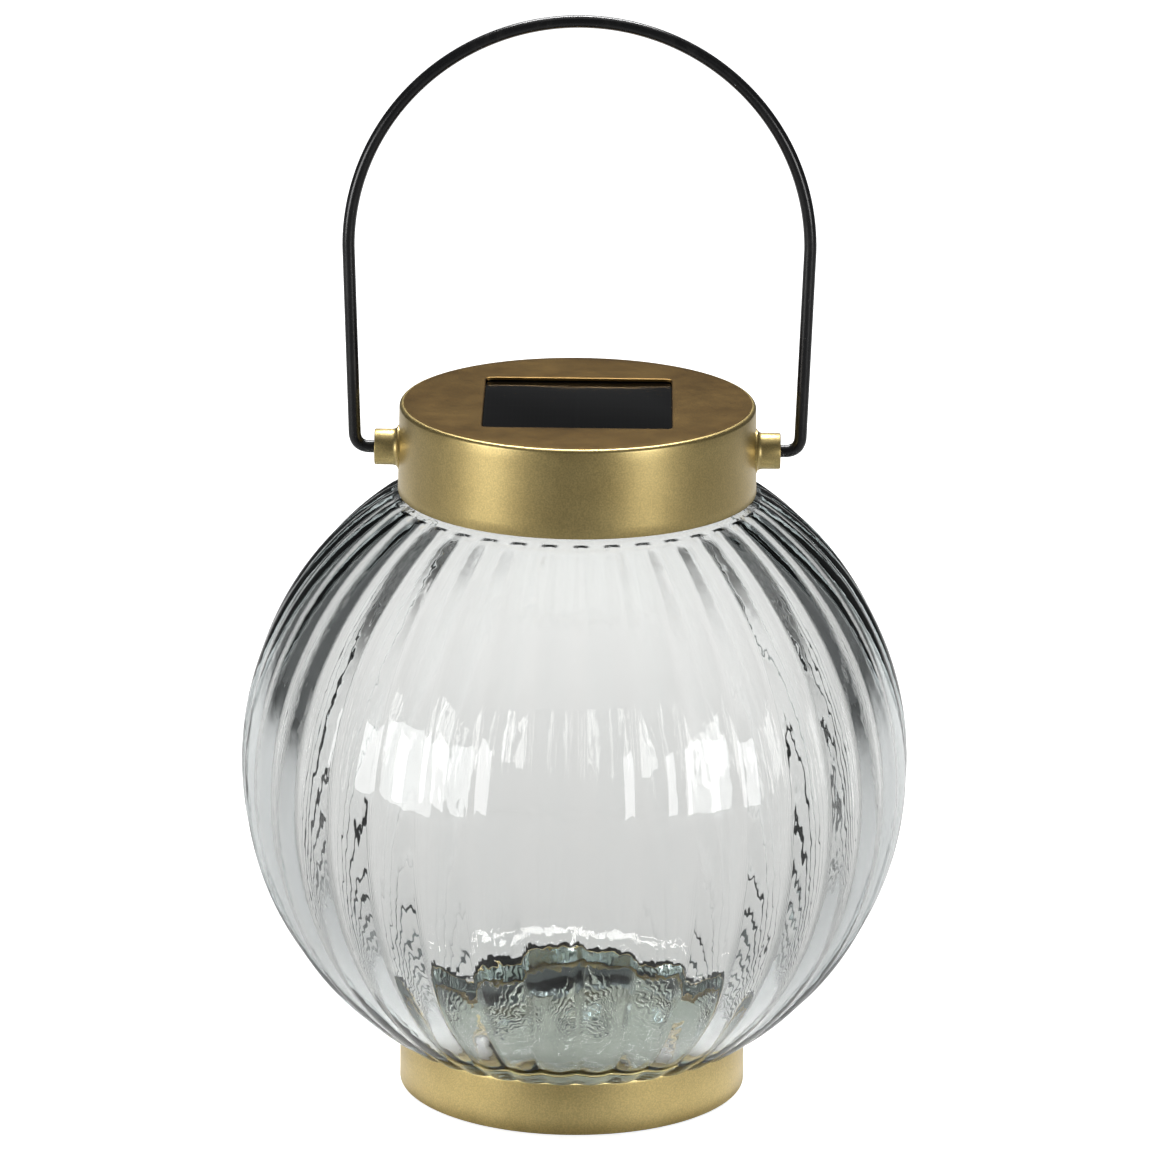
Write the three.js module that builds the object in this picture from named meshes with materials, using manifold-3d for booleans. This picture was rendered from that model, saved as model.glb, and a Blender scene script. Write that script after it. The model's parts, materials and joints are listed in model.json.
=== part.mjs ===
// Solar lantern: a fluted glass globe on a brass-coloured base ring, closed by a screw cap that holds
// a solar panel, a rechargeable cell and an LED, and is carried by a black wire bail.
// Millimetres, +Z up. The origin is the centre of the base, on the surface that the lantern stands on.
// The bail stands upright in the XZ plane.
import * as THREE from "three";
import { mergeVertices } from "three/addons/utils/BufferGeometryUtils.js";
import Module from "manifold-3d";

const wasm = await Module();
wasm.setup();

// ---- driving dimensions ----
const GAP = 0.3; // play between parts that touch

const GLOBE_R = 75.5; // outside radius over the crests of the flutes
const GLOBE_Z = 76; // height of the globe's centre
const GLASS_WALL = 4;
const FLUTES = 38;
const FLUTE_TURN = -2.9; // degrees from the front to the nearest crest
const FLUTE_DEPTH = 1.1;
const FOOT_Z = 5; // underside of the glass
const FOOT_R = 38; // plain foot that stands in the base ring
const SEAT_Z = 12.6; // where the flutes end, just over the ring's rim
const GLASS_FLOOR_Z = 13; // inside bottom of the glass

const NECK_R = 34.6; // outside of the glass neck
const MOUTH_R = 30.6; // inside of the glass neck
const RIM_Z = 152.4;
const SHOULDER_Z = 137.5; // where the sphere ends and the shoulder starts

const THREAD_PITCH = 4;
const THREAD_TURNS = 1;
const THREAD_HEIGHT = 1.3;
const THREAD_ROOT_W = 2;
const THREAD_CREST_W = 1.2;
const THREAD_Z = 145.5; // height at which the neck's thread starts

const CAP_R = 40.2; // outside radius at the open end
const CAP_TOP_R = 39.9;
const CAP_WALL = 0.6;
const CAP_Z = 139.8; // open end
const CAP_TOP_Z = 160;
const CAP_EDGE = 0.8; // rounding of the top edge
const WINDOW = 42; // side of the square window over the solar panel

const BASE_R = 39.4;
const BASE_WALL = 1;
const BASE_TOP_Z = 12.3;
const BASE_RIM_Z = 0.2; // the pads hold the metal off the surface
const BASE_FLOOR_Z = 1.5;

const BOSS_R = 4.05;
const BOSS_END_X = 45.45;
const PIVOT_Z = 149.3;
const SPIGOT_R = 2.2;
const SPIGOT_END_X = 37.2;

const WIRE_R = 1.4;
const PIVOT_PLAY = 0.05; // running clearance of the wire in its bores
const BAIL_R = 51.3; // centre line of the arch
const BAIL_SPRING_Z = 195.6; // height at which the arch starts
const BAIL_FOOT_X = 49.9; // centre line of a leg just above its lower bend
const BAIL_BEND_R = 3.6;
const WIRE_END_X = 41;

const SKIRT_R = 39; // outside of the moulding inside the cap
const SKIRT_BORE_R = 36.4;
const SKIRT_Z = 141.2;
const DECK_Z = 154.1; // underside of the moulding's deck
const DECK_TOP_Z = 155.8;
const CUP_R = 29.8; // cup that hangs in the glass mouth
const CUP_WALL = 1.4;
const CUP_Z = 142.6;

const PANEL = 46;
const PANEL_H = 3.1;
const BOARD_Z = 149.6; // underside of the circuit board
const BOARD_H = 1.2;
const CELL_R = 5.25;
const CELL_L = 30;
const CELL_Y = -15;
const CELL_Z = 148.4;
const PLATE_H = 1.5; // module base plate
const SWITCH_X = -10;
const SWITCH_Y = 9;

// ---- materials ----
const finish = (color, roughness, metalness = 0, extra = {}) =>
  new THREE.MeshStandardMaterial({ color, roughness, metalness, ...extra });
const brass = finish(0xb39a5b, 0.42, 0.9);
const glass = finish(0xd9e8e6, 0.03, 0, { transparent: true, opacity: 0.35 });
const blackWire = finish(0x1b1b1c, 0.35, 0.5);
const panelBlack = finish(0x0b0b10, 0.12);
const blackPlastic = finish(0x202022, 0.5);
const silicone = finish(0xd5d6d2, 0.6);
const foam = finish(0x2a2a2a, 0.95);
const boardGreen = finish(0x1f6b3a, 0.45);
const steel = finish(0xb9bcc0, 0.3, 0.9);
const cellGreen = finish(0x2f8f4e, 0.4);
const clearPlastic = finish(0xf2f2ea, 0.1, 0, { transparent: true, opacity: 0.6 });
const redWire = finish(0xb3261e, 0.45);
const darkWire = finish(0x1a1a1a, 0.45);

// ---- geometry helpers ----

// A closed geometry as a solid that can be joined and cut.
function solid(geometry) {
  const bare = geometry.index ? geometry.toNonIndexed() : geometry.clone();
  bare.deleteAttribute("normal");
  bare.deleteAttribute("uv");
  const merged = mergeVertices(bare, 1e-4);
  const index = merged.index.array;
  const kept = [];
  for (let i = 0; i < index.length; i += 3) {
    const [a, b, c] = [index[i], index[i + 1], index[i + 2]];
    if (a !== b && b !== c && c !== a) kept.push(a, b, c);
  }
  const build = (triVerts) =>
    new wasm.Manifold(
      new wasm.Mesh({
        numProp: 3,
        vertProperties: new Float32Array(merged.attributes.position.array),
        triVerts: new Uint32Array(triVerts),
      }),
    );
  const made = build(kept);
  return made.volume() < 0 ? build(kept.reverse()) : made;
}

// The solid's surface as a geometry.
function surface(body) {
  const mesh = body.getMesh();
  const geometry = new THREE.BufferGeometry();
  geometry.setAttribute("position", new THREE.BufferAttribute(mesh.vertProperties, 3));
  geometry.setIndex(new THREE.BufferAttribute(mesh.triVerts, 1));
  geometry.computeVertexNormals();
  return geometry;
}

const join = (...bodies) => bodies.reduce((a, b) => a.add(b));
const cut = (body, ...tools) => tools.reduce((a, b) => a.subtract(b), body);

// A profile of [radius, height] pairs turned about Z.
function turned(profile, segments = 48) {
  const points = profile.map(([r, z]) => new THREE.Vector2(r, z));
  if (profile[0][0] > 0) points.push(points[0].clone());
  return new THREE.LatheGeometry(points, segments).rotateX(Math.PI / 2);
}

// A cylinder along Z from z0 to z1.
function rod(r, z0, z1, segments = 24, rTop = r) {
  const geometry = new THREE.CylinderGeometry(rTop, r, z1 - z0, segments);
  return geometry.rotateX(Math.PI / 2).translate(0, 0, (z0 + z1) / 2);
}

// A cylinder along X from x0 to x1, at height z.
function rodX(r, x0, x1, z, segments = 24) {
  const geometry = new THREE.CylinderGeometry(r, r, Math.abs(x1 - x0), segments);
  return geometry.rotateZ(Math.PI / 2).translate((x0 + x1) / 2, 0, z);
}

// A box by its middle in x and y and by its lowest and highest z.
function block(w, d, z0, z1, x = 0, y = 0) {
  return new THREE.BoxGeometry(w, d, z1 - z0).translate(x, y, (z0 + z1) / 2);
}

// A flat ring between two radii.
const washer = (rIn, rOut, z0, z1, segments = 48) =>
  turned([[rIn, z0], [rOut, z0], [rOut, z1], [rIn, z1]], segments);

// Points of an arc about (r0, z0), from angle a0 to a1 in radians, as [radius, height] pairs.
function arc(r0, z0, radius, a0, a1, steps) {
  return Array.from({ length: steps + 1 }, (_, i) => {
    const a = a0 + ((a1 - a0) * i) / steps;
    return [r0 + radius * Math.cos(a), z0 + radius * Math.sin(a)];
  });
}

// A tube of round section along a curve.
function tube(curve, radius, steps, sides) {
  const section = new THREE.Shape(
    Array.from({ length: sides }, (_, i) => {
      const a = (2 * Math.PI * i) / sides;
      return new THREE.Vector2(radius * Math.cos(a), radius * Math.sin(a));
    }),
  );
  return new THREE.ExtrudeGeometry(section, { steps, extrudePath: curve, bevelEnabled: false });
}

// A helical thread ridge on a wall of radius wallR: it stands out to crestR and is rooted inside the wall.
function threadRidge(wallR, crestR, startZ) {
  const STEPS = 50;
  const ROOT_DEPTH = 0.5;
  const FADE = 0.12; // share of the ridge over which each end runs out
  const rootR = wallR - Math.sign(crestR - wallR) * ROOT_DEPTH;
  const positions = [];
  for (let i = 0; i <= STEPS; i++) {
    const share = i / STEPS;
    const angle = share * THREAD_TURNS * 2 * Math.PI;
    const z = startZ + share * THREAD_TURNS * THREAD_PITCH;
    const height = Math.max(0.05, Math.min(1, share / FADE, (1 - share) / FADE));
    const r = wallR + (crestR - wallR) * height;
    const corners = [
      [rootR, z - THREAD_ROOT_W / 2],
      [r, z - (THREAD_CREST_W / 2) * height],
      [r, z + (THREAD_CREST_W / 2) * height],
      [rootR, z + THREAD_ROOT_W / 2],
    ];
    corners.forEach(([cr, cz]) => positions.push(cr * Math.cos(angle), cr * Math.sin(angle), cz));
  }
  const index = [0, 1, 2, 0, 2, 3];
  for (let i = 0; i < STEPS; i++) {
    for (let k = 0; k < 4; k++) {
      const [a, b] = [4 * i + k, 4 * i + ((k + 1) % 4)];
      index.push(a, a + 4, b, b, a + 4, b + 4);
    }
  }
  const last = 4 * STEPS;
  index.push(last, last + 2, last + 1, last, last + 3, last + 2);
  const geometry = new THREE.BufferGeometry();
  geometry.setAttribute("position", new THREE.Float32BufferAttribute(positions, 3));
  geometry.setIndex(index);
  return geometry;
}

const root = new THREE.Group();

function add(name, geometry, material) {
  const mesh = new THREE.Mesh(geometry, material);
  mesh.name = name;
  root.add(mesh);
}

// ---- glass globe ----

// Heights and radii of the glass, starting on the axis underneath, up the outside and down the inside.
function glassProfile() {
  const OUTER_STEPS = 16;
  const INNER_STEPS = 9;
  const innerR = GLOBE_R - GLASS_WALL;
  const low = Math.asin((SEAT_Z - GLOBE_Z) / GLOBE_R);
  const high = Math.asin((SHOULDER_Z - GLOBE_Z) / GLOBE_R);
  const outside = arc(0, GLOBE_Z, GLOBE_R, low, high, OUTER_STEPS);
  const foot = [[0, FOOT_Z], [FOOT_R - 1, FOOT_Z], [FOOT_R, FOOT_Z + 1], [FOOT_R, SEAT_Z]];
  const shoulder = [[40.6, 139.1], [37.8, 140.1], [NECK_R, 141.4]];
  const rim = [[NECK_R, RIM_Z - 0.5], [NECK_R - 0.5, RIM_Z], [MOUTH_R + 0.5, RIM_Z], [MOUTH_R, RIM_Z - 0.5]];
  const neckBottom = Math.acos(MOUTH_R / innerR);
  const floor = -Math.asin(0.8);
  const inside = arc(0, GLOBE_Z, innerR, neckBottom, floor, INNER_STEPS);
  const flat = [[30, 14.6], [16, GLASS_FLOOR_Z], [0, GLASS_FLOOR_Z - 0.4]];
  const first = foot.length; // the first fluted point
  const points = [...foot, ...outside, ...shoulder, ...rim, ...inside, ...flat];
  return { points, ribbed: [first, first + OUTER_STEPS] };
}

// Every second line of the outside is a groove between two flutes.
function flutedGlass() {
  const { points, ribbed } = glassProfile();
  const geometry = turned(points, 2 * FLUTES);
  const position = geometry.attributes.position;
  for (let i = 0; i < position.count; i++) {
    const onProfile = i % points.length;
    const line = Math.floor(i / points.length);
    if (line % 2 === 0 || onProfile < ribbed[0] || onProfile > ribbed[1]) continue;
    const [x, y] = [position.getX(i), position.getY(i)];
    const scale = 1 - FLUTE_DEPTH / Math.hypot(x, y);
    position.setX(i, x * scale);
    position.setY(i, y * scale);
  }
  return geometry.rotateZ(THREE.MathUtils.degToRad(FLUTE_TURN));
}

const neckThread = solid(threadRidge(NECK_R, NECK_R + THREAD_HEIGHT, THREAD_Z));
add("glass_globe", surface(join(solid(flutedGlass()), neckThread)), glass);

// ---- base ----

const baseInner = BASE_R - BASE_WALL;
const baseFloorTop = BASE_FLOOR_Z + BASE_WALL;
add(
  "base_ring",
  turned(
    [
      [0, BASE_FLOOR_Z], [baseInner, BASE_FLOOR_Z], [baseInner, BASE_RIM_Z], [BASE_R - 0.4, BASE_RIM_Z],
      [BASE_R, BASE_RIM_Z + 0.4], [BASE_R, BASE_TOP_Z - 0.2], [BASE_R - 0.2, BASE_TOP_Z],
      [baseInner, BASE_TOP_Z], [baseInner, baseFloorTop], [0, baseFloorTop],
    ],
    72,
  ),
  brass,
);
add("base_pad", rod(36.5, baseFloorTop + GAP, FOOT_Z - GAP, 56), foam);

const PADS = 4;
for (let i = 0; i < PADS; i++) {
  const angle = ((i + 0.5) * 2 * Math.PI) / PADS;
  const PAD_RING_R = 30;
  const [x, y] = [PAD_RING_R * Math.cos(angle), PAD_RING_R * Math.sin(angle)];
  add(`foot_pad_${i + 1}`, rod(5, 0, BASE_FLOOR_Z - 0.1, 24).translate(x, y, 0), foam);
}

// ---- cap: shell, bosses and threaded moulding ----

function capShell() {
  const inside = CAP_TOP_Z - CAP_WALL;
  const topInner = CAP_TOP_R - CAP_WALL;
  const edge = arc(CAP_TOP_R - CAP_EDGE, CAP_TOP_Z - CAP_EDGE, CAP_EDGE, 0, Math.PI / 2, 3);
  const profile = [
    [0, inside], [topInner - 0.3, inside], [topInner, inside - 0.3], [CAP_R - CAP_WALL, CAP_Z],
    [CAP_R, CAP_Z], ...edge, [0, CAP_TOP_Z],
  ];
  const wall = solid(turned(profile, 72));
  const window = solid(block(WINDOW, WINDOW, inside - 1, CAP_TOP_Z + 1));
  const spigotHoles = solid(rodX(SPIGOT_R + GAP, -CAP_R - 1, CAP_R + 1, PIVOT_Z, 20));
  return cut(wall, window, spigotHoles);
}
add("cap_shell", surface(capShell()), brass);

// The wire turns in the boss's blind bore. The spigot passes through the cap's wall into the moulding.
function handleBoss(side) {
  const face = CAP_R + 0.4;
  const barrel = solid(rodX(BOSS_R, side * face, side * BOSS_END_X, PIVOT_Z, 28));
  const spigot = solid(rodX(SPIGOT_R, side * SPIGOT_END_X, side * (face + 1), PIVOT_Z, 20));
  const [boreFrom, boreTo] = [side * (WIRE_END_X - 1), side * (BOSS_END_X + 1)];
  const bore = solid(rodX(WIRE_R + PIVOT_PLAY, boreFrom, boreTo, PIVOT_Z, 20));
  return surface(cut(join(barrel, spigot), bore));
}
add("handle_boss_left", handleBoss(-1), brass);
add("handle_boss_right", handleBoss(1), brass);

const SCREWS = 3;
const SCREW_RING_R = 24.6;
const screwPlaces = Array.from({ length: SCREWS }, (_, i) => {
  const angle = Math.PI / 2 + (i * 2 * Math.PI) / SCREWS;
  return [SCREW_RING_R * Math.cos(angle), SCREW_RING_R * Math.sin(angle)];
});
const boardPosts = [[15, 2], [-3, 15]];
const panelLeadPlaces = [[4, 6], [8, 6]];
const POST_R = 2.6;
const PILOT_R = 1.3;
const coverScrewPlace = [0, -24];

// Skirt with the female thread, deck under the panel, and the cup that holds the electronics.
function lidMoulding() {
  const cupInner = CUP_R - CUP_WALL;
  const shell = solid(
    turned(
      [
        [0, DECK_Z], [cupInner, DECK_Z], [cupInner, CUP_Z], [CUP_R, CUP_Z], [CUP_R, DECK_Z],
        [SKIRT_BORE_R, DECK_Z], [SKIRT_BORE_R, SKIRT_Z], [SKIRT_R, SKIRT_Z], [SKIRT_R, DECK_TOP_Z],
        [0, DECK_TOP_Z],
      ],
      56,
    ),
  );
  const thread = solid(
    threadRidge(SKIRT_BORE_R, SKIRT_BORE_R - THREAD_HEIGHT, THREAD_Z - THREAD_PITCH / 2),
  );
  const post = ([x, y], bottom) => solid(rod(POST_R, bottom, DECK_Z + 0.5, 16).translate(x, y, 0));
  const pilot = ([x, y], bottom) => solid(rod(PILOT_R, bottom - 1, DECK_Z, 12).translate(x, y, 0));
  const boardPostZ = BOARD_Z + BOARD_H + GAP;
  const posts = [
    ...screwPlaces.map((p) => post(p, CUP_Z)),
    ...boardPosts.map((p) => post(p, boardPostZ)),
    post(coverScrewPlace, CUP_Z),
  ];
  const endWall = (x) => solid(block(1.2, 11, CUP_Z + 1, DECK_Z + 0.5, x, CELL_Y));
  const holes = [
    ...screwPlaces.map((p) => pilot(p, CUP_Z)),
    ...boardPosts.map((p) => pilot(p, boardPostZ)),
    pilot(coverScrewPlace, CUP_Z),
    solid(rodX(SPIGOT_R + GAP, -SKIRT_R - 1, -SKIRT_BORE_R + 2, PIVOT_Z, 20)),
    solid(rodX(SPIGOT_R + GAP, SKIRT_R + 1, SKIRT_BORE_R - 2, PIVOT_Z, 20)),
    ...panelLeadPlaces.map(([x, y]) => solid(rod(1.4, DECK_Z - 1, DECK_TOP_Z + 1, 12).translate(x, y, 0))),
  ];
  const endWalls = [endWall(-CELL_L / 2 - 3.4), endWall(CELL_L / 2 + 1.9)];
  return surface(cut(join(shell, thread, ...endWalls, ...posts), ...holes));
}
add("lid_moulding", lidMoulding(), blackPlastic);
add("neck_gasket", washer(MOUTH_R + 0.5, NECK_R - 0.3, RIM_Z + GAP, DECK_Z - GAP, 48), silicone);

// ---- solar panel under the window ----

const panelZ = DECK_TOP_Z + GAP;
add("solar_panel", block(PANEL, PANEL, panelZ, panelZ + PANEL_H), panelBlack);

function panelSeal() {
  const SEAL_W = 2;
  const outer = PANEL + 2 * (GAP + SEAL_W);
  const frame = solid(block(outer, outer, panelZ, panelZ + PANEL_H - 0.1));
  const inner = PANEL + 2 * GAP;
  return surface(cut(frame, solid(block(inner, inner, panelZ - 1, panelZ + PANEL_H + 1))));
}
add("panel_seal", panelSeal(), silicone);

// ---- circuit board and what it carries ----

const LED_R = 2.5;
function circuitBoard() {
  const board = solid(block(35, 24, BOARD_Z, BOARD_Z + BOARD_H, 0, 6.5));
  const hole = ([x, y]) => solid(rod(1.5, BOARD_Z - 1, BOARD_Z + BOARD_H + 1, 12).translate(x, y, 0));
  const holes = boardPosts.map(hole);
  return surface(cut(board, ...holes));
}
add("circuit_board", circuitBoard(), boardGreen);
boardPosts.forEach(([x, y], i) =>
  add(`board_screw_${i + 1}`, screw(1.1, 2.2, BOARD_Z - GAP, 3.6).translate(x, y, 0), steel),
);

// A pan-head screw driven upwards, its head's bearing face at height z.
function screw(shankR, headR, z, length) {
  const HEAD_H = 1.1;
  return turned([[0, z - HEAD_H], [headR * 0.75, z - HEAD_H], [headR, z - HEAD_H * 0.4], [headR, z],
    [shankR, z], [shankR, z + length - 0.6], [0, z + length]], 16);
}

const underBoard = BOARD_Z - GAP;
add(
  "led",
  turned([[0, underBoard - 6.4], ...arc(0, underBoard - 3.9, LED_R, -Math.PI / 2.4, 0, 4),
    [LED_R, underBoard - 1], [LED_R + 0.4, underBoard - 1], [LED_R + 0.4, underBoard], [0, underBoard]], 20),
  clearPlastic,
);
add("controller_chip", block(5, 4, underBoard - 1.6, underBoard, 9, 12), blackPlastic);
add("inductor", rodX(1.6, 4, 12, BOARD_Z - GAP - 1.7, 16).translate(-2, 7.5, 0), foam);
add("switch_body", block(9, 4.4, underBoard - 4, underBoard, SWITCH_X, SWITCH_Y), steel);

const plateZ = CUP_Z - GAP - PLATE_H; // underside of the base plate
const SWITCH_TRAVEL = 2;
add(
  "switch_slider",
  block(2, 2, plateZ - 0.6, underBoard - 4 - GAP, SWITCH_X - SWITCH_TRAVEL / 2, SWITCH_Y),
  blackPlastic,
);

function lead(name, points, material) {
  const curve = new THREE.CatmullRomCurve3(points.map((p) => new THREE.Vector3(...p)));
  add(name, tube(curve, 0.6, 10, 8), material);
}
const boardTop = BOARD_Z + BOARD_H + GAP;
panelLeadPlaces.forEach(([x, y], i) =>
  lead(
    i === 0 ? "panel_lead_red" : "panel_lead_black",
    [[x, y, DECK_TOP_Z], [x, y, DECK_Z + 0.5], [x, y + 1, 152.4], [x, y + 1, boardTop]],
    i === 0 ? redWire : darkWire,
  ),
);

// ---- rechargeable cell and its contacts ----

function cellBody() {
  const end = CELL_L / 2;
  const profile = [
    [0, -end], [CELL_R - 0.4, -end], [CELL_R, -end + 0.4], [CELL_R, end - 1.4], [CELL_R - 0.5, end - 0.9],
    [1.9, end - 0.9], [1.9, end], [0, end],
  ];
  return turned(profile, 28).rotateY(Math.PI / 2).translate(0, CELL_Y, CELL_Z);
}
add("battery_cell", cellBody(), cellGreen);
const contactX = CELL_L / 2 + GAP;
add("battery_contact_plate", block(0.5, 8, 145, 152.5, contactX + 0.25, CELL_Y), steel);

// The negative contact is a coil spring pressed against the end wall.
function contactSpring() {
  const TURNS = 2.5;
  const COIL_R = 2.6;
  const LENGTH = 1.7;
  class Coil extends THREE.Curve {
    getPoint(t, target = new THREE.Vector3()) {
      const a = t * TURNS * 2 * Math.PI;
      const [y, z] = [CELL_Y + COIL_R * Math.cos(a), CELL_Z + COIL_R * Math.sin(a)];
      return target.set(-contactX - 0.3 - t * LENGTH, y, z);
    }
  }
  return tube(new Coil(), 0.25, 40, 6);
}
add("battery_contact_spring", contactSpring(), steel);
const leadEnd = boardTop + 0.3;
lead(
  "battery_lead_red",
  [
    [contactX + 0.25, -10.5, 151.9], [15.3, -8.5, 152.4], [13.6, -5, 152.5], [13, -3.2, 152.3],
    [13, -3, leadEnd],
  ],
  redWire,
);
lead(
  "battery_lead_black",
  [[-16.8, -12, 151.4], [-16.6, -8.5, 152.4], [-14, -5, 152.5], [-13, -3.2, 152.3], [-13, -3, leadEnd]],
  darkWire,
);

// ---- underside of the module ----

const COVER_W = 34;
const COVER_D = 17;
const coverY = CELL_Y - 3;
function coverOutline(clearance) {
  const [w, d] = [COVER_W + 2 * clearance, COVER_D + 2 * clearance];
  const outline = solid(block(w, d, plateZ - 1, CUP_Z, 0, coverY));
  return outline.intersect(solid(rod(CUP_R - 1.6 + clearance, plateZ - 2, CUP_Z + 1, 56)));
}
function moduleBase() {
  const plate = solid(rod(CUP_R, plateZ, CUP_Z - GAP, 56));
  const slot = solid(block(2.8 + SWITCH_TRAVEL, 3, plateZ - 1, CUP_Z + 1, SWITCH_X, SWITCH_Y));
  const lensHole = solid(rod(5.4, plateZ - 1, CUP_Z + 1, 28));
  const screwHole = ([x, y]) => solid(rod(1.5, plateZ - 1, CUP_Z + 1, 12).translate(x, y, 0));
  const screwHoles = screwPlaces.map(screwHole);
  return surface(cut(plate, slot, lensHole, coverOutline(0), ...screwHoles));
}
add("module_base", moduleBase(), blackPlastic);
screwPlaces.forEach(([x, y], i) =>
  add(`module_screw_${i + 1}`, screw(1, 2.2, plateZ - GAP, 7).translate(x, y, 0), steel),
);

function batteryCover() {
  const lid = coverOutline(-GAP).intersect(solid(block(80, 80, plateZ, CUP_Z - GAP)));
  const hole = solid(rod(1.5, plateZ - 1, CUP_Z + 1, 12).translate(...coverScrewPlace, 0));
  return surface(cut(lid, hole));
}
add("battery_cover", batteryCover(), blackPlastic);
add("battery_cover_screw", screw(1, 2.2, plateZ - GAP, 7).translate(...coverScrewPlace, 0), steel);

// A clear lens over the LED, with a spigot in the plate's hole.
const lensZ = plateZ - GAP;
add(
  "led_lens",
  turned(
    [
      [0, lensZ - 2.4], [3, lensZ - 2.1], [5.2, lensZ - 1.5], [6.8, lensZ - 0.6], [6.8, lensZ], [5.1, lensZ],
      [5.1, CUP_Z - GAP], [3.4, CUP_Z - GAP], [3.4, lensZ], [0, lensZ],
    ],
    28,
  ),
  clearPlastic,
);

// ---- bail ----

// Half of the bail's centre line, from its end in the right-hand boss to the top of the arch.
function bailPath() {
  const path = new THREE.CurvePath();
  const at = (x, z) => new THREE.Vector3(x, 0, z);
  const lean = Math.atan2(BAIL_R - BAIL_FOOT_X, BAIL_SPRING_Z - PIVOT_Z);
  const bendTop = [BAIL_FOOT_X + BAIL_BEND_R * Math.sin(lean) * 0.2, PIVOT_Z + BAIL_BEND_R];
  const turn = (side) =>
    new THREE.QuadraticBezierCurve3(
      at(side * (BAIL_FOOT_X - BAIL_BEND_R), PIVOT_Z),
      at(side * BAIL_FOOT_X, PIVOT_Z),
      at(side * bendTop[0], bendTop[1]),
    );
  class Arch extends THREE.Curve {
    getPoint(t, target = new THREE.Vector3()) {
      return target.set(BAIL_R * Math.cos(Math.PI * t), 0, BAIL_SPRING_Z + BAIL_R * Math.sin(Math.PI * t));
    }
  }
  const reversed = (curve) => new THREE.QuadraticBezierCurve3(curve.v2, curve.v1, curve.v0);
  path.add(new THREE.LineCurve3(at(WIRE_END_X, PIVOT_Z), at(BAIL_FOOT_X - BAIL_BEND_R, PIVOT_Z)));
  path.add(turn(1));
  path.add(new THREE.LineCurve3(at(bendTop[0], bendTop[1]), at(BAIL_R, BAIL_SPRING_Z)));
  path.add(new Arch());
  path.add(new THREE.LineCurve3(at(-BAIL_R, BAIL_SPRING_Z), at(-bendTop[0], bendTop[1])));
  path.add(reversed(turn(-1)));
  path.add(new THREE.LineCurve3(at(BAIL_BEND_R - BAIL_FOOT_X, PIVOT_Z), at(-WIRE_END_X, PIVOT_Z)));
  return path;
}
add("handle_wire", tube(bailPath(), WIRE_R, 130, 8), blackWire);

export default root;
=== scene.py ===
"""Solar lantern: looks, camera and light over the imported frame. Metres, +Z up."""
import json
import math

import bpy
from mathutils import Matrix, Vector, noise


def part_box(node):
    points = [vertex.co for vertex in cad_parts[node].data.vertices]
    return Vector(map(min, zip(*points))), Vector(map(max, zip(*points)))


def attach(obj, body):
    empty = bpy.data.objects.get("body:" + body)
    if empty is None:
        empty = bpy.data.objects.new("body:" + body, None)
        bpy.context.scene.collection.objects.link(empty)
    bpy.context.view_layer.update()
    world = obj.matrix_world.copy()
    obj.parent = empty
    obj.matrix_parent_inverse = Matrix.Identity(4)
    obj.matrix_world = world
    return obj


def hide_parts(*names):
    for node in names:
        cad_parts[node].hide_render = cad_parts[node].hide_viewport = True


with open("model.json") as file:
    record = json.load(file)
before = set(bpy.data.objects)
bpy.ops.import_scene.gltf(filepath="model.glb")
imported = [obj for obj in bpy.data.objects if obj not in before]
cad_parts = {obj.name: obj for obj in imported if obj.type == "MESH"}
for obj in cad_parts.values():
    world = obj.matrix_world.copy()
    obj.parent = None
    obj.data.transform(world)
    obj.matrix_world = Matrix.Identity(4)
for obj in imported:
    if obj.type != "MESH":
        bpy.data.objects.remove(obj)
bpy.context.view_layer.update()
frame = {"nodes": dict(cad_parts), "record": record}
MM = 0.001
TAU = 2 * math.pi
COLLECTOR_PITCH = 1.6 * MM
CELL_STRIP = (21 * MM, 7 * MM)


# ---------------------------------------------------------------- node helpers


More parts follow.
